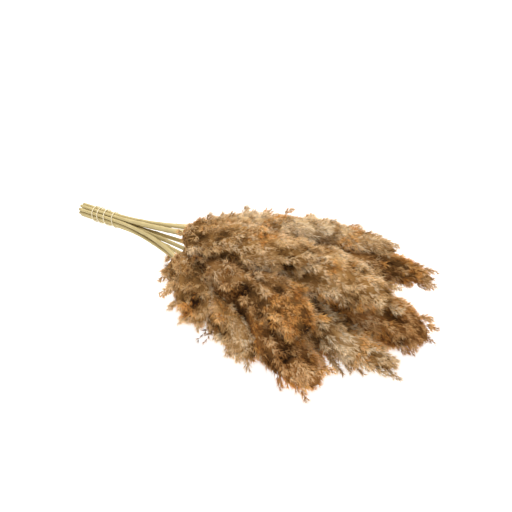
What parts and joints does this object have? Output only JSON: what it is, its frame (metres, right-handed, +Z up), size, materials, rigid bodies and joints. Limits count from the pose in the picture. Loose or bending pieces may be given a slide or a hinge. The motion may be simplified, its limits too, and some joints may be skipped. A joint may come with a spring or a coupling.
{
  "type": "bundle of reed plumes",
  "caption": "Bundle of dried reed plumes on straw stems, tied near the cut ends with a wound thread, lying flat.",
  "frame": {"origin": "on the surface that the bundle lies on, under the middle of its bounding box", "axes": "+X runs along the bundle from the cut ends to the plume tips, +Y is to its left and +Z is up"},
  "size_m": [0.7053, 0.3097, 0.1623],
  "materials": {
    "plume_pale": "dry, soft and fluffy plant hair",
    "plume_beige": "dry, soft and fluffy plant hair",
    "plume_tan": "dry, soft and fluffy plant hair",
    "plume_brown": "dry, soft and fluffy plant hair",
    "plume_rust": "dry, soft and fluffy plant hair",
    "straw": "smooth dry straw with a faint satin sheen",
    "cream_thread": "matt twisted thread"
  },
  "bodies": {
    "root": {"plume_01": "plume_pale", "plume_02": "plume_tan", "plume_03": "plume_beige", "plume_04": "plume_brown", "plume_05": "plume_rust", "plume_06": "plume_pale", "plume_07": "plume_rust", "plume_08": "plume_brown", "plume_09": "plume_rust", "plume_10": "plume_tan", "plume_11": "plume_beige", "plume_12": "plume_tan", "stem_01": "straw", "stem_02": "straw", "stem_03": "straw", "stem_04": "straw", "stem_05": "straw", "stem_06": "straw", "stem_07": "straw", "stem_08": "straw", "stem_09": "straw", "stem_10": "straw", "stem_11": "straw", "stem_12": "straw", "tie_thread": "cream_thread"}
  },
  "joints": []
}
